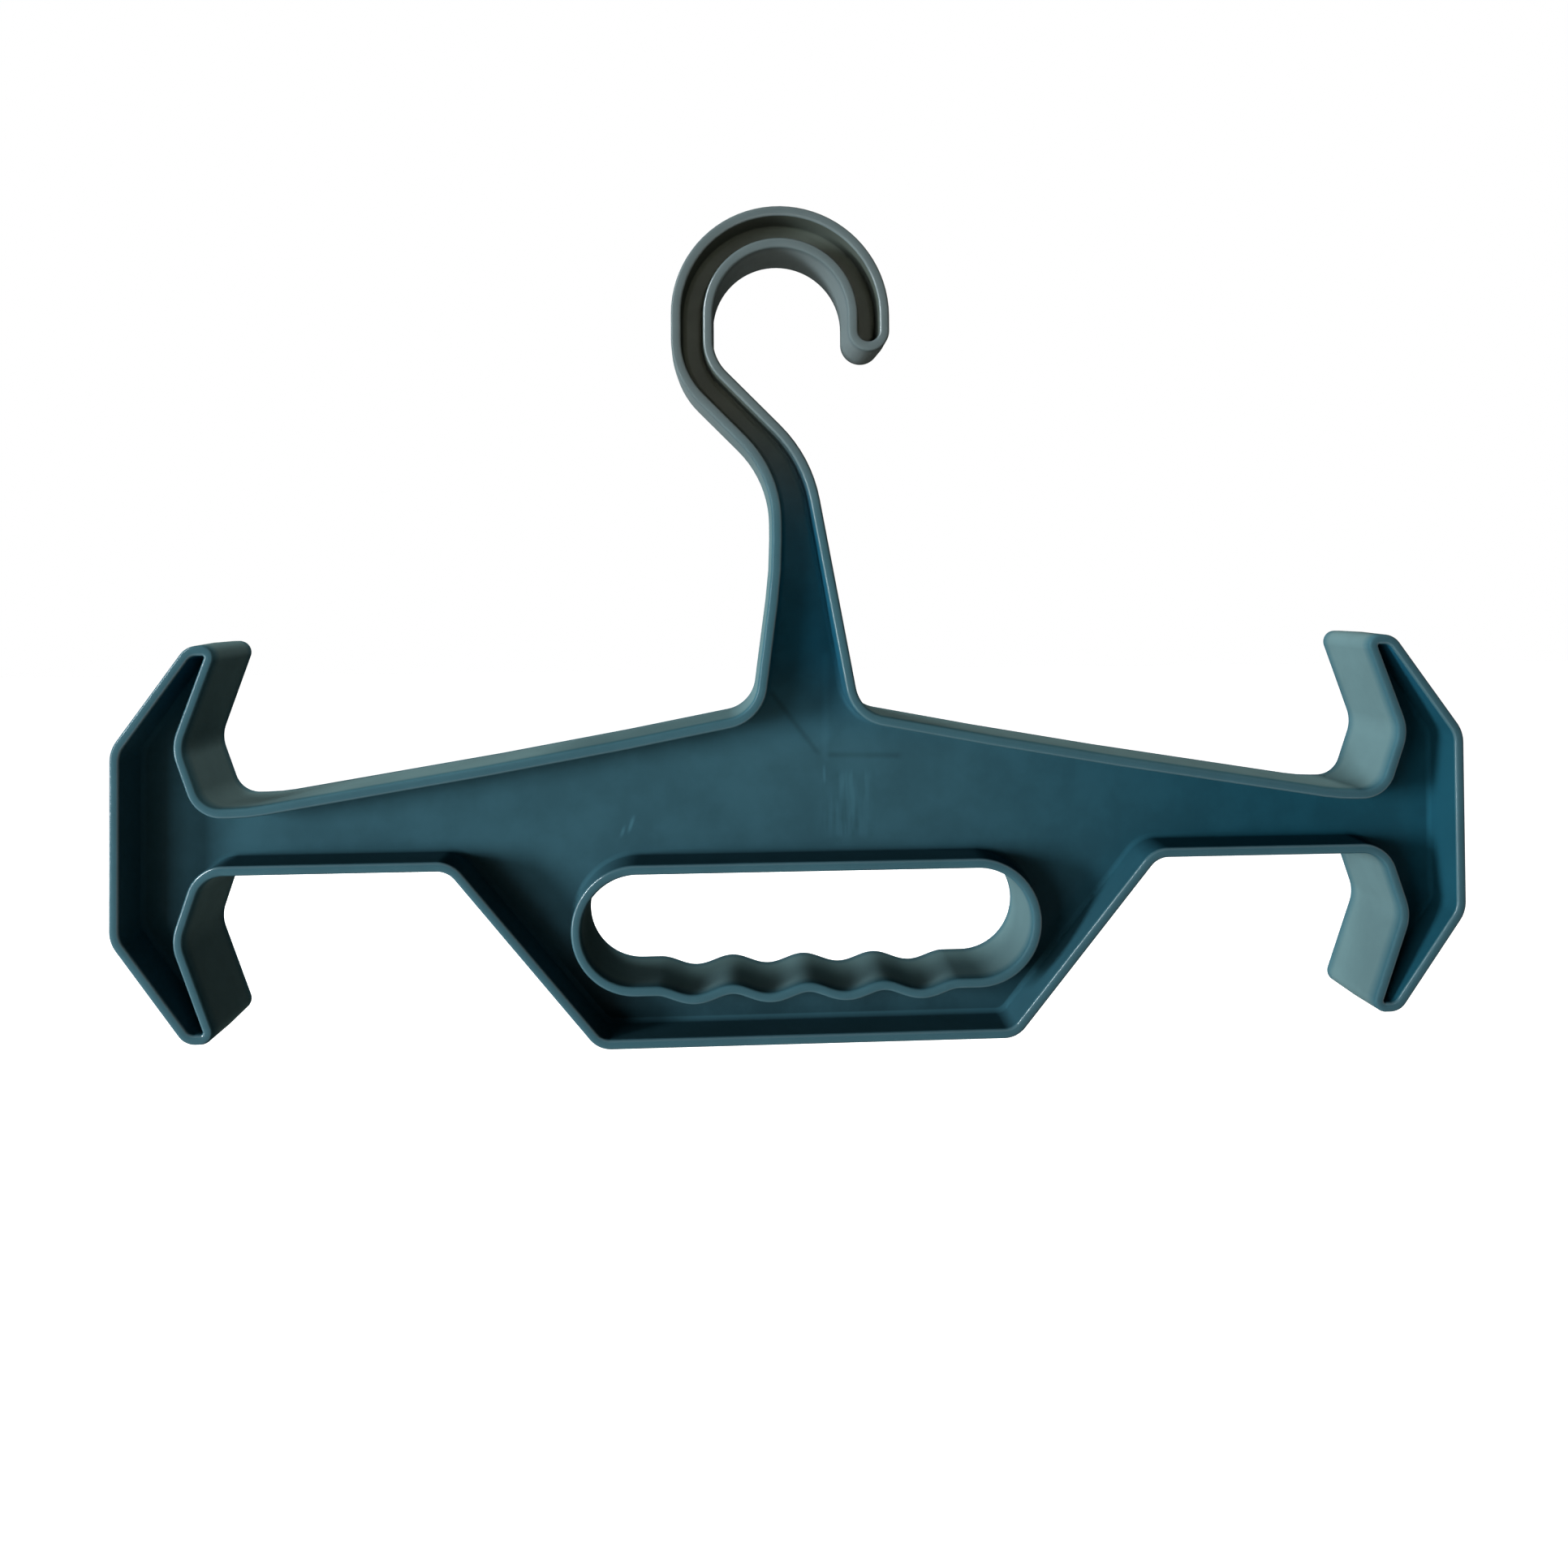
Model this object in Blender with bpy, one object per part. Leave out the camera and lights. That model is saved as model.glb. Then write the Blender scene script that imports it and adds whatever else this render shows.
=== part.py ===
"""Wetsuit hanger: one heavy plastic moulding with an I-shaped section, 430 mm wide.

A thin web at mid depth carries a wall that stands up from both its sides, all round the outline and
round the hand hole. The hanger is drawn as one closed outline of rounded corners, seen from the
front. Each wall is a stretch of that outline, each web a region inside it, and every piece is its own
solid, a hairline seam apart from the next.

The hanger is drawn with x = 0 in the middle of its arms and z = 0 under its bottom wall. An empty
carries it, so that the world's origin is the place where the hook rests on a rail.
"""

from math import atan2, ceil, copysign, cos, pi, radians, sin, tan

import bmesh
import bpy
from mathutils import Matrix, Vector

# Whole moulding, in metres
overall_width = 0.430
moulding_depth = 0.0312
wall_thickness = 0.0034
web_thickness = 0.003
rim_rounding = 0.0009
seam = 0.0003

# End bars
bar_height = 0.1228
bar_face_height = 0.0588
bar_middle_height = 0.0664
bar_tip_inset = 0.0228
bar_tip_width = 0.0106
bar_corner_radius = 0.011
tip_outer_radius = 0.0065
tip_inner_radius = 0.004

# Strap notches in the end bars
notch_kink_inset = 0.0221
notch_kink_spread = 0.0596
notch_foot_inset = 0.0286
notch_kink_radius = 0.011
notch_foot_radius = 0.008

# Arms
arm_bottom_height = 0.0564
arm_end_thickness = 0.0212
arm_end_length = 0.0129
arm_end_radius = 0.060
arm_rise = 0.0271
arm_sag = 0.0011
arm_sag_radius = 1.5
arm_sag_share = 0.4

# Body
body_top_width = 0.2256
body_bottom_width = 0.1328
shoulder_radius = 0.007
base_radius = 0.009

# Hand hole with its finger grooves
grip_width = 0.1426
grip_height = 0.0343
grip_middle_height = 0.037
groove_count = 4
groove_pitch = 0.024
groove_depth = 0.0029

# Neck
neck_foot_width = 0.0342
neck_foot_radius = 0.0112
neck_left_offset = 0.011
neck_top_width = 0.0133
neck_upright = 0.030
neck_waist_radius = 0.150
neck_bend_left_radius = 0.035
neck_bend_right_radius = 0.045

# Hook
hook_offset = 0.00765
hook_middle_height = 0.2315
hook_inner_radius = 0.0214
hook_band = 0.01385
hook_shank = 0.0080
hook_bend_radius = 0.01415
hook_bend_angle = radians(45)
hook_tip_drop = 0.0117
hook_depth = 0.0265

# Where one wall hands over to the next, along the straight stretch between two corners
near_share = 0.02
middle_share = 0.5
far_share = 0.98

# Where the neck hands over to the hook, on the way up from the neck's foot to the hook's middle
neck_share = 0.41

# Fineness of the round stretches
arc_step = radians(9)
groove_steps = 12
rim_resolution = 1
weld_distance = 0.000002

# Worked out from the sizes above
half_width = overall_width / 2
tip_x = half_width - bar_tip_inset
tip_inner_x = tip_x - bar_tip_width
arm_top_height = arm_bottom_height + arm_end_thickness
neck_foot_height = arm_top_height + arm_rise
neck_joint_height = neck_foot_height + neck_foot_radius
hook_joint_height = neck_joint_height + neck_share * (hook_middle_height - neck_joint_height)
grip_radius = grip_height / 2
grip_end_x = grip_width / 2 - grip_radius
hook_outer_radius = hook_inner_radius + hook_band
web_inset = wall_thickness + seam


def clear_scene():
    for thing in list(bpy.data.objects):
        bpy.data.objects.remove(thing, do_unlink=True)


def new_collection(name):
    group = bpy.data.collections.new(name)
    bpy.context.scene.collection.children.link(group)
    return group


def plastic(name, color, roughness):
    """One moulded plastic, as a Principled BSDF."""
    material = bpy.data.materials.new(name)
    material.use_nodes = True
    shader = material.node_tree.nodes["Principled BSDF"]
    shader.inputs["Base Color"].default_value = (*color, 1.0)
    shader.inputs["Roughness"].default_value = roughness
    shader.inputs["Metallic"].default_value = 0.0
    material.diffuse_color = (*color, 1.0)
    return material


# The outline's corners: x, height and fillet radius


def bar_and_arm_corners():
    """The corners of one half, from the bottom wall out round the end bar and in to the neck's foot."""
    kink_x = half_width - notch_kink_inset
    foot_x = half_width - notch_foot_inset
    arm_end_x = foot_x - arm_end_length
    neck_foot_x = neck_foot_width / 2
    sag_x = neck_foot_x + arm_sag_share * (arm_end_x - neck_foot_x)
    sag_height = neck_foot_height - arm_sag_share * arm_rise - arm_sag
    low_tip = bar_middle_height - bar_height / 2
    high_tip = bar_middle_height + bar_height / 2
    low_face = bar_middle_height - bar_face_height / 2
    high_face = bar_middle_height + bar_face_height / 2
    low_kink = bar_middle_height - notch_kink_spread / 2
    high_kink = bar_middle_height + notch_kink_spread / 2
    return {
        "base": (body_bottom_width / 2, 0, base_radius),
        "shoulder": (body_top_width / 2, arm_bottom_height, shoulder_radius),
        "lower_foot": (foot_x, arm_bottom_height, notch_foot_radius),
        "lower_kink": (kink_x, low_kink, notch_kink_radius),
        "lower_tip_inner": (tip_inner_x, low_tip, tip_inner_radius),
        "lower_tip_outer": (tip_x, low_tip, tip_outer_radius),
        "lower_face": (half_width, low_face, bar_corner_radius),
        "upper_face": (half_width, high_face, bar_corner_radius),
        "upper_tip_outer": (tip_x, high_tip, tip_outer_radius),
        "upper_tip_inner": (tip_inner_x, high_tip, tip_inner_radius),
        "upper_kink": (kink_x, high_kink, notch_kink_radius),
        "upper_foot": (foot_x, arm_top_height, notch_foot_radius),
        "arm_end": (arm_end_x, arm_top_height, arm_end_radius),
        "arm_sag": (sag_x, sag_height, arm_sag_radius),
        "neck_foot": (neck_foot_x, neck_foot_height, neck_foot_radius),
    }


def hook_corners():
    """The corners up the neck's right side, along the hook's inside, round its tip and back outside."""
    inner_left = -hook_offset - hook_inner_radius
    inner_right = -hook_offset + hook_inner_radius
    outer_left = -hook_offset - hook_outer_radius
    outer_right = -hook_offset + hook_outer_radius
    inner_top = hook_middle_height + hook_inner_radius
    outer_top = hook_middle_height + hook_outer_radius
    tip_bottom = hook_middle_height - hook_tip_drop
    bend_start = hook_middle_height - hook_shank
    outer_bend_radius = hook_bend_radius + hook_band
    inner_bend = bend_start - hook_bend_radius * tan(hook_bend_angle / 2)
    outer_bend = bend_start - outer_bend_radius * tan(hook_bend_angle / 2)
    neck_left = -neck_left_offset
    neck_right = neck_left + neck_top_width
    right_bend = inner_bend - (neck_right - inner_left) / tan(hook_bend_angle)
    left_bend = outer_bend - (neck_left - outer_left) / tan(hook_bend_angle)
    return {
        "neck_bend_right": (neck_right, right_bend, neck_bend_right_radius),
        "hook_bend_inner": (inner_left, inner_bend, hook_bend_radius),
        "hook_inner_left": (inner_left, inner_top, hook_inner_radius),
        "hook_inner_right": (inner_right, inner_top, hook_inner_radius),
        "hook_tip_inner": (inner_right, tip_bottom, hook_band / 2),
        "hook_tip_outer": (outer_right, tip_bottom, hook_band / 2),
        "hook_outer_right": (outer_right, outer_top, hook_outer_radius),
        "hook_outer_left": (outer_left, outer_top, hook_outer_radius),
        "hook_bend_outer": (outer_left, outer_bend, outer_bend_radius),
        "neck_bend_left": (neck_left, left_bend, neck_bend_left_radius),
        "neck_waist": (neck_left, left_bend - neck_upright, neck_waist_radius),
    }


def outline_corners():
    """Every corner of the outline, anticlockwise from the front, so that plastic is on the left."""
    half = bar_and_arm_corners()
    corners = {f"right_{name}": corner for name, corner in half.items()}
    corners.update(hook_corners())
    for name, (x, height, radius) in reversed(half.items()):
        corners[f"left_{name}"] = (-x, height, radius)
    return corners


# Outlines made from corners


def left_of(way):
    return Vector((-way.y, way.x))


def sides_of(corners):
    """Each corner's name, place, and the direction of the sides before and after it."""
    names = list(corners)
    places = [Vector(corners[name][:2]) for name in names]
    ways = [(places[(i + 1) % len(places)] - places[i]).normalized() for i in range(len(places))]
    return [(name, places[i], ways[i - 1], ways[i]) for i, name in enumerate(names)]


def moved_in(corners, inset):
    """The corners with every side moved inwards by inset, and every fillet about the same centre."""
    moved = {}
    for name, place, before, after in sides_of(corners):
        normals = left_of(before), left_of(after)
        place = place + inset * (normals[0] + normals[1]) / (1 + normals[0].dot(normals[1]))
        growth = -inset if before.cross(after) > 0 else inset
        moved[name] = (place.x, place.y, max(corners[name][2] + growth, 0))
    return moved


def rounded(corners):
    """The points of each corner's arc, by the corner's name."""
    sides = sides_of(corners)
    turns = [atan2(before.cross(after), before.dot(after)) for _, _, before, after in sides]
    reaches = [corners[side[0]][2] * tan(abs(turn) / 2) for side, turn in zip(sides, turns)]
    shares = []
    for i, (_, place, _, _) in enumerate(sides):
        following = (i + 1) % len(sides)
        length = (sides[following][1] - place).length
        shares.append(min(1, length / max(reaches[i] + reaches[following], length)))
    arcs = {}
    for i, (name, place, before, _) in enumerate(sides):
        reach = reaches[i] * min(shares[i - 1], shares[i])
        if reach < weld_distance:
            arcs[name] = [place]
            continue
        radius = copysign(reach / tan(abs(turns[i]) / 2), turns[i])
        start = place - reach * before
        centre = start + radius * left_of(before)
        steps = ceil(abs(turns[i]) / arc_step)
        turned = [Matrix.Rotation(turns[i] * step / steps, 2) for step in range(steps + 1)]
        arcs[name] = [centre + rotation @ (start - centre) for rotation in turned]
    return arcs


def tidy(points):
    """The closed line without points that lie on the one before them."""
    return [point for i, point in enumerate(points) if (point - points[i - 1]).length > weld_distance]


def clipped(outline, axis, limit, keep_above):
    """The part of a closed line on one side of an upright (axis 0) or level (axis 1) cut."""
    kept = []
    for i, point in enumerate(outline):
        before = outline[i - 1]
        depths = [(place[axis] - limit) * (1 if keep_above else -1) for place in (before, point)]
        if depths[0] * depths[1] < 0:
            kept.append(before.lerp(point, depths[0] / (depths[0] - depths[1])))
        if depths[1] >= 0:
            kept.append(point)
    return tidy(kept)


def region(outline, left=None, right=None, bottom=None, top=None):
    """A closed line clipped to a region, half a seam inside each of its limits."""
    cuts = ((0, left, True), (0, right, False), (1, bottom, True), (1, top, False))
    for axis, limit, keep_above in cuts:
        if limit is not None:
            clearance = seam / 2 if keep_above else -seam / 2
            outline = clipped(outline, axis, limit + clearance, keep_above)
    return outline


# The hand hole


def groove_points(distance, end_x):
    """The finger wall's wavy line from -end_x to end_x, at a distance outside the hole."""
    count = min(groove_count, int(2 * end_x / groove_pitch))
    wave = 2 * pi / groove_pitch
    floor = grip_middle_height - grip_radius
    line = [Vector((-end_x, floor - distance))]
    for step in range(count * groove_steps + 1):
        along = step * groove_pitch / groove_steps
        height = floor - groove_depth * (1 - cos(wave * along)) / 2
        slope = -groove_depth * wave * sin(wave * along) / 2
        place = Vector((along - count * groove_pitch / 2, height))
        line.append(place + distance * Vector((slope, -1)).normalized())
    line.append(Vector((end_x, floor - distance)))
    return line


def grip_end_points(distance, middle_x):
    """The round end of the hand hole, anticlockwise, at a distance outside the hole."""
    radius = grip_radius + distance
    first = -pi / 2 if middle_x > 0 else pi / 2
    steps = ceil(pi / arc_step)
    angles = [first + pi * step / steps for step in range(steps + 1)]
    return [Vector((middle_x + radius * cos(a), grip_middle_height + radius * sin(a))) for a in angles]


def grip_outline(distance):
    """The whole closed line round the hand hole, at a distance outside it."""
    right_end, left_end = grip_end_points(distance, grip_end_x), grip_end_points(distance, -grip_end_x)
    return tidy(groove_points(distance, grip_end_x) + right_end + left_end)


# Solids made from outlines


def solid(name, outline, depth, material, group, rounding=0):
    """A flat object with the given outline and rounded rims, centred on the web, its front towards -Y."""
    curve = bpy.data.curves.new(name, "CURVE")
    curve.dimensions = "2D"
    curve.fill_mode = "BOTH"
    curve.extrude = depth / 2 - rounding
    curve.bevel_depth = rounding
    curve.bevel_resolution = rim_resolution
    curve.offset = -rounding
    spline = curve.splines.new("POLY")
    spline.points.add(len(outline) - 1)
    for point, place in zip(spline.points, outline):
        point.co = (*place, 0, 1)
    spline.use_cyclic_u = True
    guide = bpy.data.objects.new(f"{name}_outline", curve)
    bpy.context.scene.collection.objects.link(guide)
    graph = bpy.context.evaluated_depsgraph_get()
    mesh = bpy.data.meshes.new_from_object(guide.evaluated_get(graph))
    bpy.data.objects.remove(guide, do_unlink=True)
    bpy.data.curves.remove(curve)
    shape = bmesh.new()
    shape.from_mesh(mesh)
    bmesh.ops.remove_doubles(shape, verts=shape.verts, dist=weld_distance)
    bmesh.ops.recalc_face_normals(shape, faces=shape.faces)
    shape.to_mesh(mesh)
    shape.free()
    mesh.name = name
    mesh.materials.clear()
    mesh.materials.append(material)
    piece = bpy.data.objects.new(name, mesh)
    piece.rotation_euler.x = pi / 2
    group.objects.link(piece)
    return piece


def taper_to_hook(wall):
    """Makes a wall less deep from the neck's foot up, as far as the hook's own depth."""
    for corner in wall.data.vertices:
        share = (corner.co.y - neck_joint_height) / (hook_joint_height - neck_joint_height)
        share = min(max(share, 0), 1)
        inset = share * (moulding_depth - hook_depth) / 2
        corner.co.z -= copysign(inset, corner.co.z)


# Walls round the outline


def wall_starts():
    """Where each wall starts, anticlockwise: after which corner, and how far along the straight part.

    Each wall ends where the next one starts. The hook's long walls still have the neck's in them.
    """
    return {
        "bottom_wall": ("left_shoulder", far_share),
        "right_flank_wall": ("right_base", near_share),
        "right_arm_bottom_wall": ("right_shoulder", near_share),
        "right_lower_notch_wall": ("right_shoulder", far_share),
        "right_bar_wall": ("right_lower_tip_inner", middle_share),
        "right_upper_notch_wall": ("right_upper_tip_outer", middle_share),
        "right_arm_top_wall": ("right_upper_foot", middle_share),
        "hook_inner_wall": ("right_arm_sag", far_share),
        "hook_tip_wall": ("hook_inner_right", middle_share),
        "hook_outer_wall": ("hook_tip_outer", middle_share),
        "left_arm_top_wall": ("left_neck_foot", near_share),
        "left_upper_notch_wall": ("left_arm_end", middle_share),
        "left_bar_wall": ("left_upper_tip_inner", middle_share),
        "left_lower_notch_wall": ("left_lower_tip_outer", middle_share),
        "left_arm_bottom_wall": ("left_lower_foot", near_share),
        "left_flank_wall": ("left_lower_foot", far_share),
    }


def straight_after(arcs, name):
    """The ends of the straight stretch that follows a corner."""
    names = list(arcs)
    following = names[(names.index(name) + 1) % len(names)]
    return arcs[name][-1], arcs[following][0]


def wall_end(arcs, corner, share, shift):
    """The outer and inner point of a wall's end, shifted along the wall from its share of the straight."""
    low, high = straight_after(arcs, corner)
    way = (high - low).normalized()
    outer = low.lerp(high, share) + shift * way
    return outer, outer + wall_thickness * left_of(way)


def wall_outline(arcs, inner_arcs, start, end):
    """The closed line of one wall, from start to end along the outside and back along the inside."""
    names = list(arcs)
    first, last = names.index(start[0]), names.index(end[0])
    between = [names[(first + 1 + i) % len(names)] for i in range((last - first) % len(names))]
    outer_start, inner_start = wall_end(arcs, *start, seam / 2)
    outer_end, inner_end = wall_end(arcs, *end, -seam / 2)
    outer = [outer_start, *(point for name in between for point in arcs[name]), outer_end]
    inner = [inner_start, *(point for name in between for point in inner_arcs[name]), inner_end]
    return tidy(outer + inner[::-1])


def make_walls(material, group):
    corners = outline_corners()
    arcs = rounded(corners)
    inner_arcs = rounded(moved_in(corners, wall_thickness))
    starts = wall_starts()
    names = list(starts)
    outlines = {}
    for name, following in zip(names, names[1:] + names[:1]):
        outlines[name] = wall_outline(arcs, inner_arcs, starts[name], starts[following])
    neck_walls = {"hook_inner_wall": "neck_right_wall", "hook_outer_wall": "neck_left_wall"}
    for hook_wall, neck_wall in neck_walls.items():
        outlines[neck_wall] = region(outlines[hook_wall], top=hook_joint_height)
        outlines[hook_wall] = region(outlines[hook_wall], bottom=hook_joint_height)
    for name, outline in outlines.items():
        taper_to_hook(solid(name, outline, moulding_depth, material, group, rim_rounding))


def make_grip_walls(material, group):
    end_x = grip_end_x - seam
    low = grip_middle_height + grip_radius
    high = low + wall_thickness
    top_corners = ((-end_x, low), (end_x, low), (end_x, high), (-end_x, high))
    outlines = {
        "grip_finger_wall": groove_points(wall_thickness, end_x) + groove_points(0, end_x)[::-1],
        "grip_top_wall": [Vector(place) for place in top_corners],
    }
    for name, middle_x in (("grip_left_end_wall", -grip_end_x), ("grip_right_end_wall", grip_end_x)):
        outlines[name] = grip_end_points(wall_thickness, middle_x) + grip_end_points(0, middle_x)[::-1]
    for name, outline in outlines.items():
        solid(name, outline, moulding_depth, material, group, rim_rounding)


# Webs inside the walls


def make_webs(material, group, cutters):
    arcs = rounded(moved_in(outline_corners(), web_inset))
    inside = tidy([point for arc in arcs.values() for point in arc])
    arm_joint_x = body_top_width / 2
    whole_regions = {
        "hook_web": (-arm_joint_x, arm_joint_x, hook_joint_height, None),
        "neck_web": (-arm_joint_x, arm_joint_x, neck_joint_height, hook_joint_height),
        "left_arm_web": (-tip_inner_x, -arm_joint_x),
        "right_arm_web": (arm_joint_x, tip_inner_x),
        "left_bar_web": (None, -tip_inner_x),
        "right_bar_web": (tip_inner_x, None),
    }
    for name, limits in whole_regions.items():
        solid(name, region(inside, *limits), web_thickness, material, group)
    cutter = solid("grip_cutter", grip_outline(web_inset), moulding_depth, material, cutters)
    cutter.hide_render = True
    cutter.display_type = "WIRE"
    holed_regions = {
        "upper_body_web": (-grip_end_x, grip_end_x, grip_middle_height, neck_joint_height),
        "lower_body_web": (-grip_end_x, grip_end_x, None, grip_middle_height),
        "left_body_web": (-arm_joint_x, -grip_end_x, None, neck_joint_height),
        "right_body_web": (grip_end_x, arm_joint_x, None, neck_joint_height),
    }
    for name, limits in holed_regions.items():
        piece = solid(name, region(inside, *limits), web_thickness, material, group)
        cut = piece.modifiers.new("hand_hole", "BOOLEAN")
        cut.operation = "DIFFERENCE"
        cut.solver = "EXACT"
        cut.object = cutter


def hang_on_rail_origin(*groups):
    """Parents every piece to an empty, which puts the hook's resting place at the world's origin."""
    hanger = bpy.data.objects.new("hanger", None)
    hanger.location = (hook_offset, 0, -(hook_middle_height + hook_inner_radius))
    groups[0].objects.link(hanger)
    for group in groups:
        for piece in group.objects:
            if piece is not hanger:
                piece.parent = hanger


def main():
    clear_scene()
    hanger_group = new_collection("wetsuit_hanger")
    cutters = new_collection("cutters")
    wall_plastic = plastic("moulded_wall", (0.075, 0.13, 0.145), 0.38)
    web_plastic = plastic("moulded_web", (0.028, 0.085, 0.115), 0.45)
    make_walls(wall_plastic, hanger_group)
    make_grip_walls(wall_plastic, hanger_group)
    make_webs(web_plastic, hanger_group, cutters)
    hang_on_rail_origin(hanger_group, cutters)


main()
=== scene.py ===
"""Wetsuit hanger, dressed: one seamless dark teal moulding with an I-shaped section.

The visible moulding is one closed skin. A section, from the parting line out over the rim and down
to the web, is drawn at a series of insets from the outline and from the hand hole, and the web
closes the space between the innermost lines. The outline is the frame's, drawn from the same sizes.
"""

from math import atan2, ceil, copysign, cos, pi, radians, sin, tan

import bmesh
import bpy
from mathutils import Matrix, Vector


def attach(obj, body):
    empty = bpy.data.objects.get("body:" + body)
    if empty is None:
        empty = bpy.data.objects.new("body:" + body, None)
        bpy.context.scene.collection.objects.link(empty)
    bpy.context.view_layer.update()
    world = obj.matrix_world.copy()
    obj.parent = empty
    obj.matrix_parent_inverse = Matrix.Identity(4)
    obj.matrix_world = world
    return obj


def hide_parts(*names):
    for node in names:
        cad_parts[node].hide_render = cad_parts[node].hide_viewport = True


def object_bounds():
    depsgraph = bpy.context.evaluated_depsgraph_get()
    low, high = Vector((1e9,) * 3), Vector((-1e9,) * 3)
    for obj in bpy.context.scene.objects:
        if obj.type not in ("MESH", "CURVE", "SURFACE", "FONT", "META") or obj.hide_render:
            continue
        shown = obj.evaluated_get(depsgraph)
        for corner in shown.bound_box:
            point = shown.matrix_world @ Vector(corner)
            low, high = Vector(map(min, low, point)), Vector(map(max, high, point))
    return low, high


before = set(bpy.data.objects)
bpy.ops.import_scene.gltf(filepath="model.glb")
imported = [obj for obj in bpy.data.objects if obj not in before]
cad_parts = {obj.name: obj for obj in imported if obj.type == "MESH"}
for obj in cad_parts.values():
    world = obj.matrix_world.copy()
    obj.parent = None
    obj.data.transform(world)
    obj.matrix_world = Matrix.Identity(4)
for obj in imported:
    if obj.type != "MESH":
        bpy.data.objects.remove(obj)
cad_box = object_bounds()

# Whole moulding, in metres; the frame gives its overall size and its place
overall_width = cad_box[1].x - cad_box[0].x
moulding_depth = cad_box[1].y - cad_box[0].y
hanger_place = Vector(((cad_box[0].x + cad_box[1].x) / 2, 0, cad_box[0].z))
wall_thickness = 0.0034
web_thickness = 0.003

# Section of a wall
outer_draft = 0.00025
inner_draft = 0.0003
rim_radius = 0.0009
rim_crown = 0.00006
root_fillet = 0.0016
smallest_radius = 0.0005

# Height over which the look of the outer side goes over into the rim's
side_blend = 0.004

# How polished the rim's rounded edges are at each of their points, from the wall's side to the crown
inner_edge_shares = (0, 0, 0.3, 1, 1, 0.2)
outer_edge_shares = (0, 0, 0, 0.1, 0.4, 0.2)

# What each point of the section carries for the material, in this order
share_names = ("rim", "edge", "outer_side", "web")

# End bars
bar_height = 0.1228
bar_face_height = 0.0588
bar_middle_height = 0.0664
bar_tip_inset = 0.0228
bar_tip_width = 0.0106
bar_corner_radius = 0.011
tip_outer_radius = 0.0065
tip_inner_radius = 0.004

# Strap notches in the end bars
notch_kink_inset = 0.0221
notch_kink_spread = 0.0596
notch_foot_inset = 0.0286
notch_kink_radius = 0.011
notch_foot_radius = 0.008

# Arms
arm_bottom_height = 0.0564
arm_end_thickness = 0.0212
arm_end_length = 0.0129
arm_end_radius = 0.060
arm_rise = 0.0271
arm_sag = 0.0011
arm_sag_radius = 1.5
arm_sag_share = 0.4

# Body
body_top_width = 0.2256
body_bottom_width = 0.1328
shoulder_radius = 0.007
base_radius = 0.009

# Hand hole with its finger grooves
grip_width = 0.1426
grip_height = 0.0343
grip_middle_height = 0.037
groove_count = 4
groove_pitch = 0.024
groove_depth = 0.0029

# Neck
neck_foot_width = 0.0342
neck_foot_radius = 0.0112
neck_left_offset = 0.011
neck_top_width = 0.0133
neck_upright = 0.030
neck_waist_radius = 0.150
neck_bend_left_radius = 0.035
neck_bend_right_radius = 0.045

# Hook
hook_offset = 0.00765
hook_middle_height = 0.2315
hook_inner_radius = 0.0214
hook_band = 0.01385
hook_shank = 0.0080
hook_bend_radius = 0.01415
hook_bend_angle = radians(45)
hook_tip_drop = 0.0117
hook_depth = 0.0265

# How far up, from the top of the neck's foot to the hook's middle, the neck hands over to the hook
neck_share = 0.41

# Fineness of the round stretches
arc_step = radians(4.5)
groove_steps = 24
crown_steps = 4
root_steps = 6
weld_distance = 0.000002

# Worked out from the sizes above
half_width = overall_width / 2
tip_x = half_width - bar_tip_inset
tip_inner_x = tip_x - bar_tip_width
arm_top_height = arm_bottom_height + arm_end_thickness
neck_foot_height = arm_top_height + arm_rise
neck_joint_height = neck_foot_height + neck_foot_radius
hook_joint_height = neck_joint_height + neck_share * (hook_middle_height - neck_joint_height)
grip_radius = grip_height / 2
grip_end_x = grip_width / 2 - grip_radius
hook_outer_radius = hook_inner_radius + hook_band

# Camera, as the photograph's perspective gives it
photo_size = 1932
focal_pixels = 1450
optical_centre_pixels = (968, 690.4)
sensor_width = 36
camera_place = (-0.0197, -0.3875, -0.1058)
camera_turn = (radians(90.886), radians(0.381), radians(-3.171))

# Plastic: its colours, several with painted light in them, and where along the hanger one goes over into
# the next
# Painted sheen: the web greyer towards the left, standing in for its mirroring of the window there
painted_sheen_web = (0.028, 0.077, 0.099)
clear_web = (0.009, 0.056, 0.082)
# Painted fill light: the neck's web lighter and bluer than the rest, lifting the shade between its walls
neck_web_painted_fill = (0.008, 0.060, 0.098)
# Painted warm reflection: the hook's web warm grey and lighter, which also lifts the shade in its deep
# channel
hook_web_painted_warm = (0.058, 0.070, 0.061)
# Painted sheen: the rims' teal made lighter and greyer, standing in for light caught on their rounded
# edges
rim_with_painted_sheen = (0.035, 0.090, 0.112)
# Painted warm reflection on the hook's rims and outer sides
hook_rim_painted_warm = (0.082, 0.108, 0.114)
hook_side_painted_warm = (0.108, 0.134, 0.138)
# Painted reflection: the outer sides lighter and greyer, standing in for what they mirror when seen
# edge-on
side_with_painted_reflection = (0.082, 0.140, 0.150)
# Painted sheen: across the web, where it begins going left and where it is full
painted_sheen_starts, painted_sheen_ends = 0.180, 0.020
neck_starts, neck_ends = -0.165, -0.125
hook_starts, hook_ends = -0.095, -0.045

# Plastic: its mottle, streaks and grain, and its gloss
noise_span = (0.3, 0.7)
front_blend = web_thickness / 4
cloud_noise = {"Scale": 55.0, "Detail": 4.0, "Roughness": 0.6}
web_cloud_depth = 0.10
wall_cloud_depth = 0.05
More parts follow.
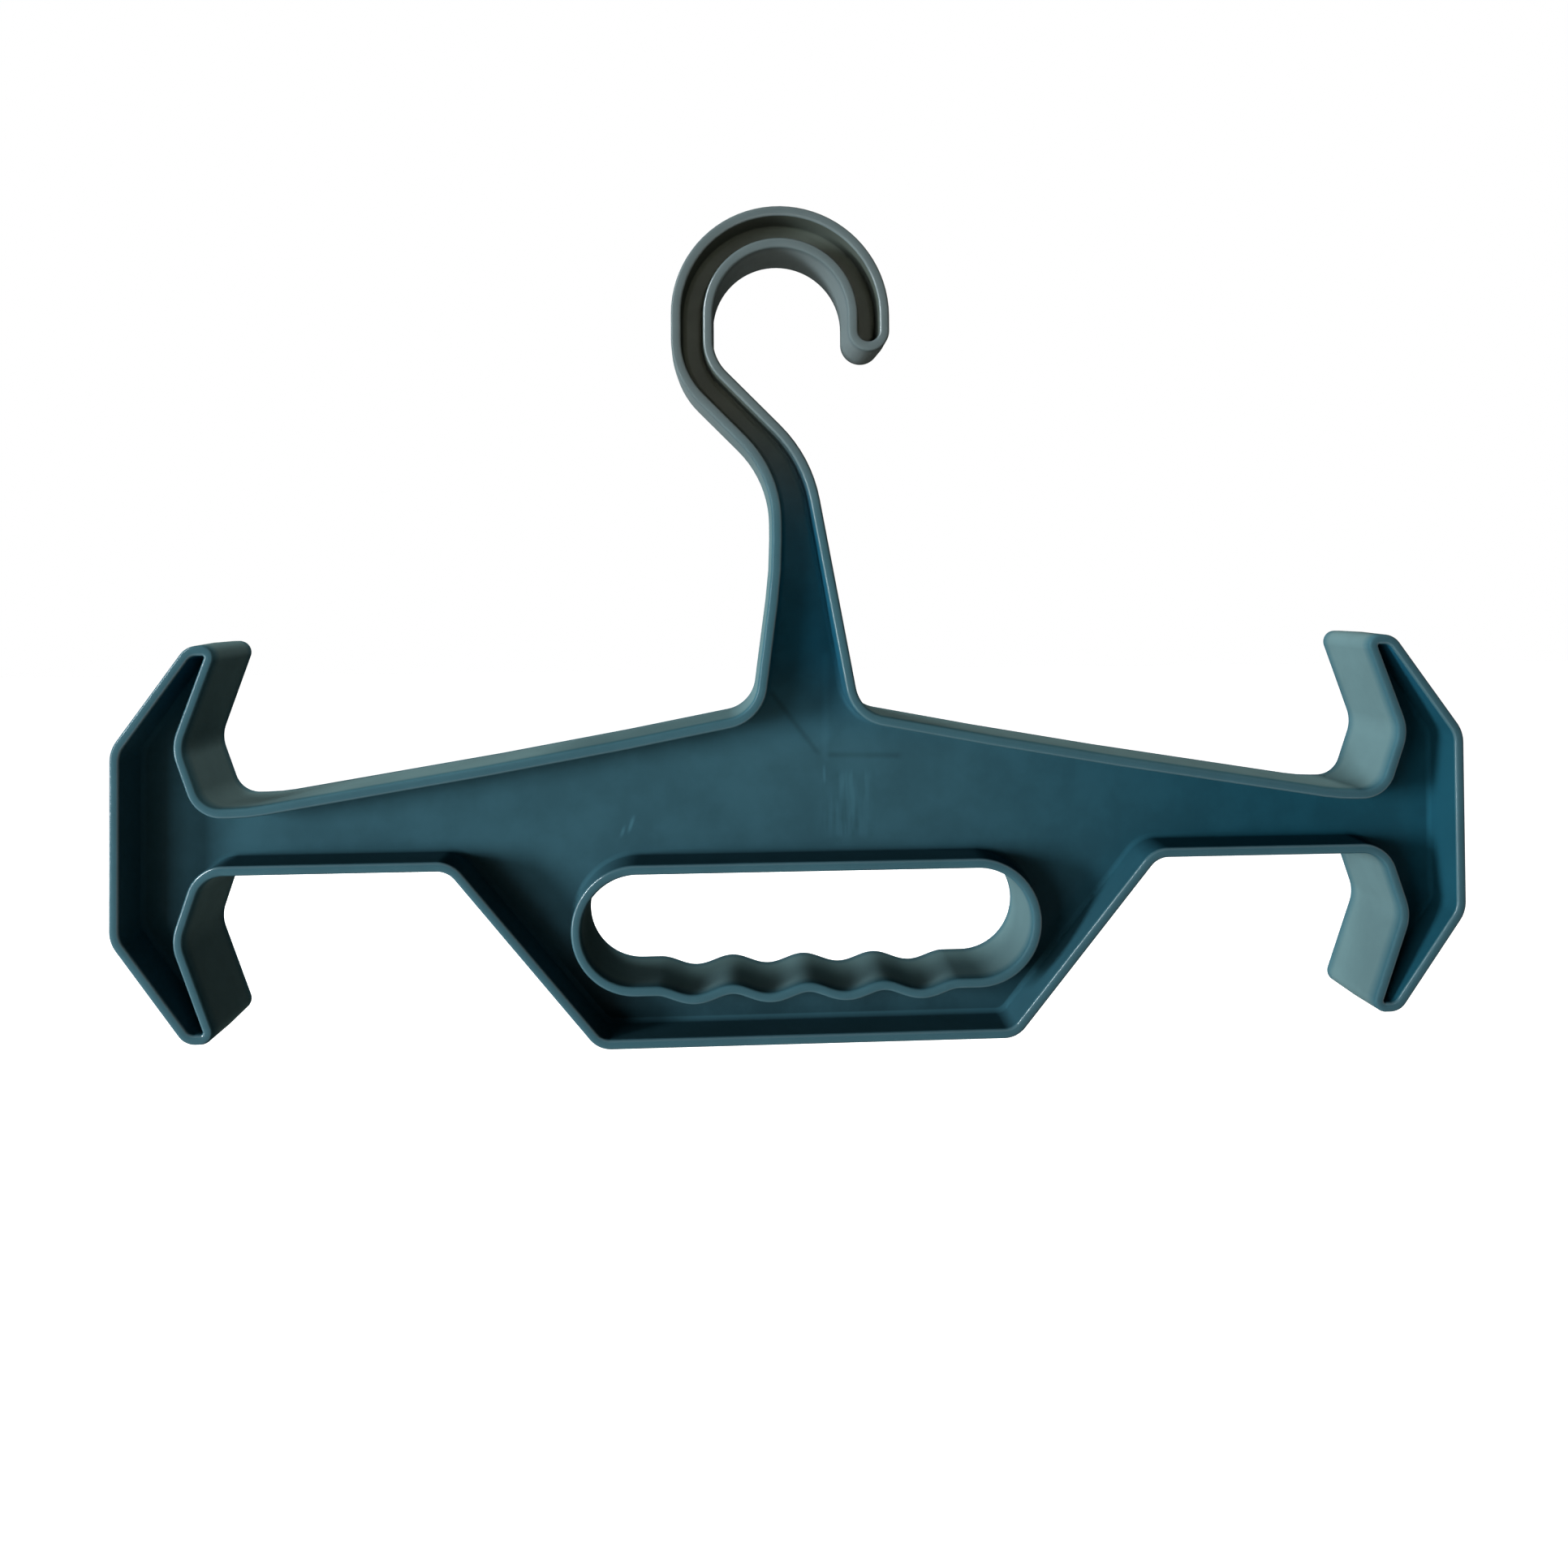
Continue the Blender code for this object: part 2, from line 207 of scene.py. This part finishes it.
# Painted shade: the web darker in a strip just above the bottom wall, between these heights
painted_shade_strip_heights = (-0.2335, -0.2250)
painted_shade_strip_depth = 0.42
streak_noise = {"Scale": 1.0, "Detail": 2.0}
streak_scales = (420, 60, 60)
streak_depths = (-0.10, 0.26)
grain_noise = {"Scale": 350.0, "Detail": 2.0}
grain_depth = 0.00004
web_roughness = 0.6
gloss_spread = 0.05
side_roughness = 0.9
rim_roughness = 0.5
edge_polish = 0.68
low_polish, high_polish = 0.03, 0.28
polish_roughness = 0.2
polish_ior = 1.5
specular_level = 0.0

# Lines and patches on the front of the web: scratches, welds, and by the neck's foot a dark diagonal
# line, a lighter wedge and a lighter upright line. Where each starts and ends, as x and height, its
# width, and how much lighter or darker it is
mark_fade = 0.003
streaky_patch = ((0.0140, 0.085), (0.0140, 0.061), 0.014)
web_marks = {
    "dark_diagonal_line": ((-0.0120, 0.1112), (0.0052, 0.0886), 0.0015, -0.24),
    "light_wedge": ((-0.0080, 0.1130), (0.0080, 0.0920), 0.0060, 0.14),
    "light_upright_line": ((0.0070, 0.1240), (0.0066, 0.0860), 0.0018, 0.12),
    "weld_foot": ((0.0060, 0.0893), (0.0330, 0.0885), 0.0016, -0.20),
    "weld_end": ((0.0062, 0.0870), (0.0064, 0.0790), 0.0008, 0.35),
    "long_scratch": ((-0.0555, 0.0712), (-0.0580, 0.0640), 0.0009, 0.65),
    "short_scratch": ((-0.0585, 0.0680), (-0.0605, 0.0625), 0.0009, 0.55),
}

# Floor: as it is seen, and as the light it sends back to the hanger has it
floor_drop = 0.35
floor_width = 12
floor_roughness = 0.9
floor_colour = (0.5, 0.5, 0.5)
floor_bounce_colour = (0.32, 0.29, 0.26)

# Oval on the floor in which the shadow shows, out of the main view, and the floor's glow in it
shadow_place = (0.12, -0.15, 0)
shadow_length_share = 0.55
shadow_reach = (0.26, 0.33)
shadow_glow_reach = (-0.5, 0.5)
left_shadow_glow, right_shadow_glow = 0.34, 0.58

# World
ambient_strength = 0.015
ambient_colour = (1.0, 0.85, 0.68)

# Window on the left: the turn from straight in front, width and power of its panes
window_distance = 2.5
window_height = 0.75
window_panes = {"near_pane": (radians(42), 0.74, 22), "far_pane": (radians(63), 0.45, 92)}
window_colour = (0.90, 0.97, 1.0)
shine_turn = radians(63)
shine_size = (0.45, 4.0)
shine_power = 450

# Fill lamps: place from the hanger's middle, size, power and colour
fill_lamps = {
    "back": ((-0.85, 0.42, 1.20), (0.5, 0.5), 14, (0.95, 1.0, 0.97)),
    "top": ((0.35, 0.05, 1.60), (0.15, 0.15), 14, (1.0, 0.92, 0.84)),
    "rear": ((-0.35, 2.45, 0.25), (0.7, 0.7), 45, (1.0, 1.0, 1.0)),
    "front": ((0.25, -1.3, 0.35), (1.2, 1.2), 0.25, (1.0, 0.97, 0.93)),
}

# Light on the hook, placed from the hook's middle
hook_light_place = (0.05, -1.20, -0.24)
hook_light_cone = radians(11)
hook_light_blend = 1.0
hook_light_radius = 0.10
hook_light_power = 30
hook_light_colour = (1.0, 0.90, 0.76)


# The outline's corners: x, height and fillet radius


def bar_and_arm_corners():
    """One half's corners, from the bottom wall out round the end bar and in to the neck's foot."""
    kink_x = half_width - notch_kink_inset
    foot_x = half_width - notch_foot_inset
    arm_end_x = foot_x - arm_end_length
    neck_foot_x = neck_foot_width / 2
    sag_x = neck_foot_x + arm_sag_share * (arm_end_x - neck_foot_x)
    sag_height = neck_foot_height - arm_sag_share * arm_rise - arm_sag
    low_tip = bar_middle_height - bar_height / 2
    high_tip = bar_middle_height + bar_height / 2
    low_face = bar_middle_height - bar_face_height / 2
    high_face = bar_middle_height + bar_face_height / 2
    low_kink = bar_middle_height - notch_kink_spread / 2
    high_kink = bar_middle_height + notch_kink_spread / 2
    return [
        (body_bottom_width / 2, 0, base_radius),
        (body_top_width / 2, arm_bottom_height, shoulder_radius),
        (foot_x, arm_bottom_height, notch_foot_radius),
        (kink_x, low_kink, notch_kink_radius),
        (tip_inner_x, low_tip, tip_inner_radius),
        (tip_x, low_tip, tip_outer_radius),
        (half_width, low_face, bar_corner_radius),
        (half_width, high_face, bar_corner_radius),
        (tip_x, high_tip, tip_outer_radius),
        (tip_inner_x, high_tip, tip_inner_radius),
        (kink_x, high_kink, notch_kink_radius),
        (foot_x, arm_top_height, notch_foot_radius),
        (arm_end_x, arm_top_height, arm_end_radius),
        (sag_x, sag_height, arm_sag_radius),
        (neck_foot_x, neck_foot_height, neck_foot_radius),
    ]


def hook_corners():
    """The corners up the neck's right, along the hook's inside, round its tip and back outside."""
    inner_left = -hook_offset - hook_inner_radius
    inner_right = -hook_offset + hook_inner_radius
    outer_left = -hook_offset - hook_outer_radius
    outer_right = -hook_offset + hook_outer_radius
    inner_top = hook_middle_height + hook_inner_radius
    outer_top = hook_middle_height + hook_outer_radius
    tip_bottom = hook_middle_height - hook_tip_drop
    bend_start = hook_middle_height - hook_shank
    outer_bend_radius = hook_bend_radius + hook_band
    inner_bend = bend_start - hook_bend_radius * tan(hook_bend_angle / 2)
    outer_bend = bend_start - outer_bend_radius * tan(hook_bend_angle / 2)
    neck_left = -neck_left_offset
    neck_right = neck_left + neck_top_width
    right_bend = inner_bend - (neck_right - inner_left) / tan(hook_bend_angle)
    left_bend = outer_bend - (neck_left - outer_left) / tan(hook_bend_angle)
    return [
        (neck_right, right_bend, neck_bend_right_radius),
        (inner_left, inner_bend, hook_bend_radius),
        (inner_left, inner_top, hook_inner_radius),
        (inner_right, inner_top, hook_inner_radius),
        (inner_right, tip_bottom, hook_band / 2),
        (outer_right, tip_bottom, hook_band / 2),
        (outer_right, outer_top, hook_outer_radius),
        (outer_left, outer_top, hook_outer_radius),
        (outer_left, outer_bend, outer_bend_radius),
        (neck_left, left_bend, neck_bend_left_radius),
        (neck_left, left_bend - neck_upright, neck_waist_radius),
    ]


def outline_corners():
    """Every corner of the outline, anticlockwise from the front, so that plastic is on the left."""
    half = bar_and_arm_corners()
    return half + hook_corners() + [(-x, height, radius) for x, height, radius in reversed(half)]


# Closed lines at an inset, with as many points at every inset


def left_of(way):
    """The direction square to another, on its left."""
    return Vector((-way.y, way.x))


def sides_of(corners):
    """Each corner's place, and the direction of the sides before and after it."""
    places = [Vector(corner[:2]) for corner in corners]
    ways = [(places[(i + 1) % len(places)] - places[i]).normalized() for i in range(len(places))]
    return [(places[i], ways[i - 1], ways[i]) for i in range(len(places))]


def moved_in(corners, inset):
    """The corners with every side moved inwards by inset, and every fillet about the same centre."""
    moved = []
    for (_, _, radius), (place, before, after) in zip(corners, sides_of(corners)):
        normals = left_of(before), left_of(after)
        place = place + inset * (normals[0] + normals[1]) / (1 + normals[0].dot(normals[1]))
        growth = -inset if before.cross(after) > 0 else inset
        moved.append((place.x, place.y, max(radius + growth, smallest_radius)))
    return moved


def rounded(corners):
    """The closed line through every corner's arc, with as many points at every inset."""
    sides = sides_of(corners)
    turns = [atan2(before.cross(after), before.dot(after)) for _, before, after in sides]
    reaches = [corner[2] * tan(abs(turn) / 2) for corner, turn in zip(corners, turns)]
    shares = []
    for i, (place, _, _) in enumerate(sides):
        following = (i + 1) % len(sides)
        length = (sides[following][0] - place).length
        shares.append(min(1, length / max(reaches[i] + reaches[following], length)))
    points = []
    for i, (place, before, _) in enumerate(sides):
        reach = reaches[i] * min(shares[i - 1], shares[i])
        radius = copysign(reach / tan(abs(turns[i]) / 2), turns[i])
        start = place - reach * before
        centre = start + radius * left_of(before)
        steps = max(round(abs(turns[i]) / arc_step), 1)
        for step in range(steps + 1):
            points.append(centre + Matrix.Rotation(turns[i] * step / steps, 2) @ (start - centre))
    return points


def outline_line(inset):
    """The whole closed line of the outline at an inset from it."""
    return rounded(moved_in(outline_corners(), inset))


def groove_points(distance):
    """The finger wall's wavy line at a distance outside the hole."""
    wave = 2 * pi / groove_pitch
    floor = grip_middle_height - grip_radius
    line = []
    for step in range(groove_count * groove_steps + 1):
        along = step * groove_pitch / groove_steps
        height = floor - groove_depth * (1 - cos(wave * along)) / 2
        slope = -groove_depth * wave * sin(wave * along) / 2
        place = Vector((along - groove_count * groove_pitch / 2, height))
        line.append(place + distance * Vector((slope, -1)).normalized())
    return line


def grip_end_points(distance, middle_x):
    """The round end of the hand hole, anticlockwise, at a distance outside the hole."""
    radius = grip_radius + distance
    first = -pi / 2 if middle_x > 0 else pi / 2
    steps = ceil(pi / arc_step)
    angles = [first + pi * step / steps for step in range(steps + 1)]
    return [
        Vector((middle_x + radius * cos(angle), grip_middle_height + radius * sin(angle)))
        for angle in angles
    ]


def grip_line(distance):
    """The whole closed line round the hand hole, at a distance outside it."""
    right_end = grip_end_points(distance, grip_end_x)
    left_end = grip_end_points(distance, -grip_end_x)
    return groove_points(distance) + right_end + left_end


# The wall's section


def arc(centre, radius, first, last, steps):
    """Points along an arc, as inset and depth."""
    angles = [first + (last - first) * step / steps for step in range(steps + 1)]
    return [(centre[0] + radius * cos(a), centre[1] + radius * sin(a)) for a in angles]


def half_section():
    """The section from the parting line out over the rim and down to the web.

    Each point is an inset, a depth, and how far it belongs to the rim, to the polished stretch of
    the rim's rounded edges, to the wall's outer side and to the web.
    """
    centre_depth = moulding_depth / 2 - rim_crown - rim_radius
    outer_x, inner_x = outer_draft + rim_radius, wall_thickness - rim_radius
    rim_steps = len(inner_edge_shares) - 1
    outer = arc((outer_x, centre_depth), rim_radius, pi, pi / 2, rim_steps)
    inner = arc((inner_x, centre_depth), rim_radius, pi / 2, 0, rim_steps)
    middle, half_flat = (outer_x + inner_x) / 2, (inner_x - outer_x) / 2
    crown = []
    for step in range(1, crown_steps):
        across = 2 * step / crown_steps - 1
        crown.append((middle + across * half_flat, moulding_depth / 2 - rim_crown * across ** 2))
    root_x = wall_thickness + inner_draft + root_fillet
    root = arc((root_x, web_thickness / 2 + root_fillet), root_fillet, pi, 3 * pi / 2, root_steps)
    blend_depth = outer[0][1] - side_blend
    blend_inset = outer_draft * blend_depth / outer[0][1]
    outer_side = [(*place, 0, 0, 1, 0) for place in ((0, 0), (blend_inset, blend_depth))]
    outer_edge = [(*place, 1, share, 1, 0) for place, share in zip(outer, outer_edge_shares)]
    inner_edge = [(*place, 1, share, 0, 0) for place, share in zip(inner, inner_edge_shares[::-1])]
    crown = [(*place, 1, inner_edge_shares[-1], 0, 0) for place in crown]
    rim = outer_edge + crown + inner_edge[:-1]
    inner_side = [(*place, 0, 0, 0, 0) for place in [inner[-1]] + root[:-1]]
    return outer_side + rim + inner_side + [(*root[-1], 0, 0, 0, 1)]


def whole_section():
    """The section from the web's back over both rims to its front, with the front towards -Y."""
    half = half_section()
    return half[:0:-1] + [(inset, -depth, *shares) for inset, depth, *shares in half]


def wall_depth(depth, height):
    """The depth of a point on a wall, which is less on the hook than on the arms."""
    share = (height - neck_joint_height) / (hook_joint_height - neck_joint_height)
    lost = min(max(share, 0), 1) * (moulding_depth - hook_depth) / 2
    half_web = web_thickness / 2
    wall_rise = moulding_depth / 2 - half_web
    beyond_web = max(abs(depth) - half_web, 0)
    return copysign(abs(depth) - lost * beyond_web / wall_rise, depth)


# The visible moulding


def skin(shape, line_at, share_layers):
    """Adds the wall along one closed line."""
    loops = []
    for inset, depth, *shares in whole_section():
        loop = []
        for point in line_at(inset):
            place = Vector((point.x, wall_depth(depth, point.y), point.y))
            corner = shape.verts.new(hanger_place + place)
            for layer, share in zip(share_layers, shares):
                corner[layer] = share
            loop.append(corner)
        loops.append(loop)
    for loop, following in zip(loops, loops[1:]):
        for i in range(len(loop)):
            shape.faces.new((loop[i - 1], loop[i], following[i], following[i - 1]))


def make_moulding(material):
    """The whole hanger as one closed skin."""
    shape = bmesh.new()
    share_layers = [shape.verts.layers.float.new(name) for name in share_names]
    skin(shape, outline_line, share_layers)
    skin(shape, grip_line, share_layers)
    bmesh.ops.remove_doubles(shape, verts=shape.verts, dist=weld_distance)
    for side in (-1, 1):
        open_edges = [edge for edge in shape.edges if edge.is_boundary]
        border = [edge for edge in open_edges if edge.verts[0].co.y * side > 0]
        bmesh.ops.triangle_fill(shape, use_beauty=True, use_dissolve=False, edges=border)
    bmesh.ops.recalc_face_normals(shape, faces=shape.faces)
    mesh = bpy.data.meshes.new("hanger_moulding")
    shape.to_mesh(mesh)
    shape.free()
    mesh.materials.append(material)
    mesh.shade_smooth()
    moulding = bpy.data.objects.new("hanger_moulding", mesh)
    bpy.context.scene.collection.objects.link(moulding)
    smoothing = moulding.modifiers.new("face_normals", "WEIGHTED_NORMAL")
    smoothing.mode = "FACE_AREA"
    smoothing.keep_sharp = False
    return moulding


# Nodes


def set_inputs(tree, node, inputs):
    """Links each of a node's inputs to a socket, or sets it to a value."""
    for name, value in inputs.items():
        if isinstance(value, bpy.types.NodeSocket):
            tree.links.new(value, node.inputs[name])
        else:
            node.inputs[name].default_value = value


def add_node(tree, kind, inputs, **settings):
    """A node with its settings and its inputs."""
    node = tree.nodes.new(kind)
    for name, value in settings.items():
        setattr(node, name, value)
    set_inputs(tree, node, inputs)
    return node


def mixed(tree, factor, first, second):
    """A colour between two others, each a socket or a plain colour."""
    colours = {}
    for name, colour in (("A", first), ("B", second)):
        colours[name] = colour if isinstance(colour, bpy.types.NodeSocket) else (*colour, 1)
    node = add_node(tree, "ShaderNodeMix", {"Factor": factor, **colours}, data_type="RGBA")
    return node.outputs["Result"]


def between(tree, factor, first, second):
    """A value between two others."""
    node = add_node(tree, "ShaderNodeMix", {"Factor": factor, "A": first, "B": second})
    return node.outputs["Result"]


def ranged(tree, value, low, high, at_low=0.0, at_high=1.0):
    """A value taken from one range into another, with soft ends."""
    limits = {"Value": value, "From Min": low, "From Max": high}
    node = add_node(
        tree,
        "ShaderNodeMapRange",
        {**limits, "To Min": at_low, "To Max": at_high},
        interpolation_type="SMOOTHSTEP",
    )
    return node.outputs["Result"]


def value_math(tree, operation, *values):
    """The result of an operation on values."""
    node = add_node(tree, "ShaderNodeMath", dict(enumerate(values)), operation=operation)
    return node.outputs["Value"]


def multiplied(tree, first, second, added=0.0):
    """The product of two values, with a third value added."""
    return value_math(tree, "MULTIPLY_ADD", first, second, added)


def vector_math(tree, operation, *vectors):
    """The result of an operation on vectors: a value for a dot product or a length, else a vector."""
    node = add_node(tree, "ShaderNodeVectorMath", dict(enumerate(vectors)), operation=operation)
    return node.outputs["Value" if operation in ("DOT_PRODUCT", "LENGTH") else "Vector"]


def noise(tree, place, settings):
    """A noise texture's value at a place."""
    return add_node(tree, "ShaderNodeTexNoise", {"Vector": place, **settings}).outputs["Fac"]


def attribute(tree, name):
    """One of the shares that the moulding's section carries."""
    return add_node(tree, "ShaderNodeAttribute", {}, attribute_name=name).outputs["Fac"]


def own_place(tree):
    """The shaded point's place in its object."""
    return add_node(tree, "ShaderNodeTexCoord", {}).outputs["Object"]


def seen_directly(tree):
    """1 for what the camera sees, also by reflection or through glass, and 0 for light on the object."""
    path = add_node(tree, "ShaderNodeLightPath", {}).outputs
    either = value_math(tree, "MAXIMUM", path["Is Camera Ray"], path["Is Glossy Ray"])
    return value_math(tree, "MAXIMUM", either, path["Is Transmission Ray"])


def new_material(name):
    """A material with its node tree and its shader."""
    material = bpy.data.materials.new(name)
    material.use_nodes = True
    return material, material.node_tree, material.node_tree.nodes["Principled BSDF"]


# Materials


def mark(tree, place, start, end, width):
    """1 along the middle of a straight mark from start to end, and 0 beside it and beyond its ends."""
    first, last = (hanger_place + Vector((x, 0, height)) for x, height in (start, end))
    length = (last - first).length
    way = (last - first).normalized()
    offset = vector_math(tree, "SUBTRACT", place, first)
    along = vector_math(tree, "DOT_PRODUCT", offset, way)
    beside = value_math(tree, "ABSOLUTE", vector_math(tree, "DOT_PRODUCT", offset, (way.z, 0, -way.x)))
    begun = ranged(tree, along, 0.0, mark_fade)
    not_ended = ranged(tree, along, length, length - mark_fade)
    return multiplied(tree, ranged(tree, beside, width, 0.0), multiplied(tree, begun, not_ended))


def streaks(tree, place):
    """How much lighter or darker the fine streaks in the streaky patch are."""
    fine = noise(tree, vector_math(tree, "MULTIPLY", place, streak_scales), streak_noise)
    depth = ranged(tree, fine, *noise_span, *streak_depths)
    return multiplied(tree, mark(tree, place, *streaky_patch), depth)


def plastic_tone(tree, across, height, rim, outer_side):
    """Colours with painted light: web sheen fading to the right, fill up the neck, warm light in the
    hook, lighter rims and walls.
    """
    # Painted sheen on the web, full on the left and gone towards the right
    painted_sheen = ranged(tree, across, painted_sheen_ends, painted_sheen_starts, 1.0, 0.0)
    into_the_neck = ranged(tree, height, neck_starts, neck_ends)
    into_the_hook = ranged(tree, height, hook_starts, hook_ends)
    web_tone = mixed(tree, painted_sheen, clear_web, painted_sheen_web)
    web_tone = mixed(tree, into_the_neck, web_tone, neck_web_painted_fill)
    web_tone = mixed(tree, into_the_hook, web_tone, hook_web_painted_warm)
    rim_tone = mixed(tree, into_the_hook, rim_with_painted_sheen, hook_rim_painted_warm)
    side_tone = mixed(tree, into_the_hook, side_with_painted_reflection, hook_side_painted_warm)
    return mixed(tree, rim, mixed(tree, outer_side, web_tone, side_tone), rim_tone)


def plastic_lightness(tree, place, depth, height, cloud, web):
    """How light the plastic is against its tone: its mottle, a painted shade low on the web, and its
    marks.
    """
    front_web = multiplied(tree, web, ranged(tree, depth, front_blend, -front_blend))
    cloud_depth = ranged(tree, web, 0.0, 1.0, wall_cloud_depth, web_cloud_depth)
    mottle = ranged(tree, cloud, *noise_span, -1.0, 1.0)
    lightness = multiplied(tree, mottle, cloud_depth, added=1.0)
    # Painted shade: darker low on the web
    painted_low_shade = ranged(tree, height, *painted_shade_strip_heights, -painted_shade_strip_depth, 0.0)
    lightness = multiplied(tree, web, painted_low_shade, added=lightness)
    for start, end, width, strength in web_marks.values():
        change = multiplied(tree, mark(tree, place, start, end, width), strength)
        lightness = multiplied(tree, front_web, change, added=lightness)
    return multiplied(tree, front_web, streaks(tree, place), added=lightness)


def plastic_roughness(tree, cloud, rim, outer_side):
    """Uneven on the web, rougher on the outer sides and smoother on the rims."""
    rougher, smoother = web_roughness + gloss_spread, web_roughness - gloss_spread
    uneven = ranged(tree, cloud, *noise_span, rougher, smoother)
    return between(tree, rim, between(tree, outer_side, uneven, side_roughness), rim_roughness)


def plastic_polish(tree, height, edge, web):
    """How much the rims' edges mirror, and the web a little, which grows up into the hook."""
    web_share = ranged(tree, height, neck_ends, hook_ends, low_polish, high_polish)
    return multiplied(tree, edge, edge_polish, added=multiplied(tree, web, web_share))


def moulded_plastic():
    """Dark teal plastic: mottled matt web with painted sheen and shade, rims and outer sides lightened
    as painted reflection.
    """
    material, tree, shader = new_material("moulded_plastic")
    place = own_place(tree)
    parts = add_node(tree, "ShaderNodeSeparateXYZ", {"Vector": place}).outputs
    across, depth, height = parts["X"], parts["Y"], parts["Z"]
    rim, edge, outer_side, web = (attribute(tree, name) for name in share_names)
    cloud = noise(tree, place, cloud_noise)
    tone = plastic_tone(tree, across, height, rim, outer_side)
    lightness = plastic_lightness(tree, place, depth, height, cloud, web)
    colour = add_node(tree, "ShaderNodeHueSaturation", {"Color": tone, "Value": lightness})
    grain = {"Height": noise(tree, place, grain_noise), "Distance": grain_depth}
    look = {
        "Base Color": colour.outputs["Color"],
        "Normal": add_node(tree, "ShaderNodeBump", grain).outputs["Normal"],
        "Roughness": plastic_roughness(tree, cloud, rim, outer_side),
        "Coat Weight": plastic_polish(tree, height, edge, web),
        "Coat Roughness": polish_roughness,
        "Coat IOR": polish_ior,
        "Specular IOR Level": specular_level,
    }
    set_inputs(tree, shader, look)
    return material


def pale_floor():
    """White to the camera and in reflections, apart from the hanger's shadow.

    Its glow makes the lit floor white. In an oval round the shadow the glow is only just enough for
    that, so the shadow shows. The light it sends back to the hanger comes from a darker, warmer floor.
    """
    material, tree, shader = new_material("pale_floor")
    seen = seen_directly(tree)
    place = own_place(tree)
    across = add_node(tree, "ShaderNodeSeparateXYZ", {"Vector": place}).outputs["X"]
    shadow_glow = ranged(tree, across, *shadow_glow_reach, left_shadow_glow, right_shadow_glow)
    from_shadow = vector_math(tree, "SUBTRACT", place, shadow_place)
    from_shadow = vector_math(tree, "MULTIPLY", from_shadow, (shadow_length_share, 1, 1))
    glow = ranged(tree, vector_math(tree, "LENGTH", from_shadow), *shadow_reach, shadow_glow, 1.0)
    look = {
        "Base Color": mixed(tree, seen, floor_bounce_colour, floor_colour),
        "Roughness": floor_roughness,
        "Emission Color": (1, 1, 1, 1),
        "Emission Strength": multiplied(tree, glow, seen),
    }
    set_inputs(tree, shader, look)
    return material


# Studio


def make_world():
    """White where it is seen, and a weak warm light on the hanger."""
    world = bpy.data.worlds.new("studio")
    world.use_nodes = True
    tree = world.node_tree
    ambient = tree.nodes["Background"]
    set_inputs(tree, ambient, {"Color": (*ambient_colour, 1), "Strength": ambient_strength})
    white = add_node(tree, "ShaderNodeBackground", {"Color": (1, 1, 1, 1), "Strength": 1.0})
    choice = {
        0: seen_directly(tree),
        1: ambient.outputs["Background"],
        2: white.outputs["Background"],
    }
    both = add_node(tree, "ShaderNodeMixShader", choice)
    set_inputs(tree, tree.nodes["World Output"], {"Surface": both.outputs["Shader"]})
    bpy.context.scene.world = world


def make_floor():
    """The pale floor below the hanger, which isn't part of it."""
    bpy.ops.mesh.primitive_plane_add(size=floor_width, location=(0, 0, cad_box[0].z - floor_drop))
    floor = bpy.context.object
    floor.name = "floor"
    floor.data.materials.append(pale_floor())


def hang_lamp(lamp, target, offset):
    """Puts a lamp at an offset from its target, facing it and hidden from the camera."""
    holder = bpy.data.objects.new(lamp.name, lamp)
    holder.location = target + offset
    holder.rotation_euler = (-offset).to_track_quat("-Z", "Y").to_euler()
    holder.visible_camera = False
    bpy.context.scene.collection.objects.link(holder)
    return holder


def make_lamp(name, place, size, power, colour):
    """A soft rectangular lamp that faces the hanger's middle, at a place measured from there."""
    lamp = bpy.data.lights.new(name, "AREA")
    lamp.shape = "RECTANGLE"
    lamp.size, lamp.size_y = size
    lamp.energy = power
    lamp.color = colour
    return hang_lamp(lamp, (cad_box[0] + cad_box[1]) / 2, Vector(place))


def to_the_left(turn):
    """A place level with the hanger at the window's distance, turned left from straight in front."""
    return window_distance * Vector((-sin(turn), -cos(turn), 0))


def make_window():
    """Soft light through two panes on the left, and a tall strip for polished surfaces to mirror."""
    for name, (turn, width, power) in window_panes.items():
        pane = make_lamp(name, to_the_left(turn), (width, window_height), power, window_colour)
        pane.visible_glossy = False
    shine = make_lamp("shine", to_the_left(shine_turn), shine_size, shine_power, window_colour)
    shine.visible_diffuse = False


def make_fill():
    """Weaker light from behind, above and in front, which no surface mirrors."""
    for name, (place, size, power, colour) in fill_lamps.items():
        lamp = make_lamp(name, place, size, power, colour)
        lamp.visible_glossy = False


def make_hook_light():
    """A soft warm pool of light on the hook alone."""
    lamp = bpy.data.lights.new("hook_light", "SPOT")
    lamp.energy = hook_light_power
    lamp.color = hook_light_colour
    lamp.spot_size = hook_light_cone
    lamp.spot_blend = hook_light_blend
    lamp.shadow_soft_size = hook_light_radius
    hook_middle = hanger_place + Vector((-hook_offset, 0, hook_middle_height))
    holder = hang_lamp(lamp, hook_middle, Vector(hook_light_place))
    holder.visible_glossy = False


def make_camera():
    """The photograph's viewpoint and framing."""
    data = bpy.data.cameras.new("camera")
    data.sensor_width = sensor_width
    data.lens = sensor_width * focal_pixels / photo_size
    data.shift_x = (photo_size / 2 - optical_centre_pixels[0]) / photo_size
    data.shift_y = (optical_centre_pixels[1] - photo_size / 2) / photo_size
    camera = bpy.data.objects.new("camera", data)
    camera.location = camera_place
    camera.rotation_euler = camera_turn
    bpy.context.scene.collection.objects.link(camera)
    bpy.context.scene.camera = camera


make_world()
make_floor()
make_window()
make_fill()
make_hook_light()
make_camera()

moulding = make_moulding(moulded_plastic())
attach(moulding, "root")
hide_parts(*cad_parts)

bpy.context.scene.view_settings.view_transform = "Standard"
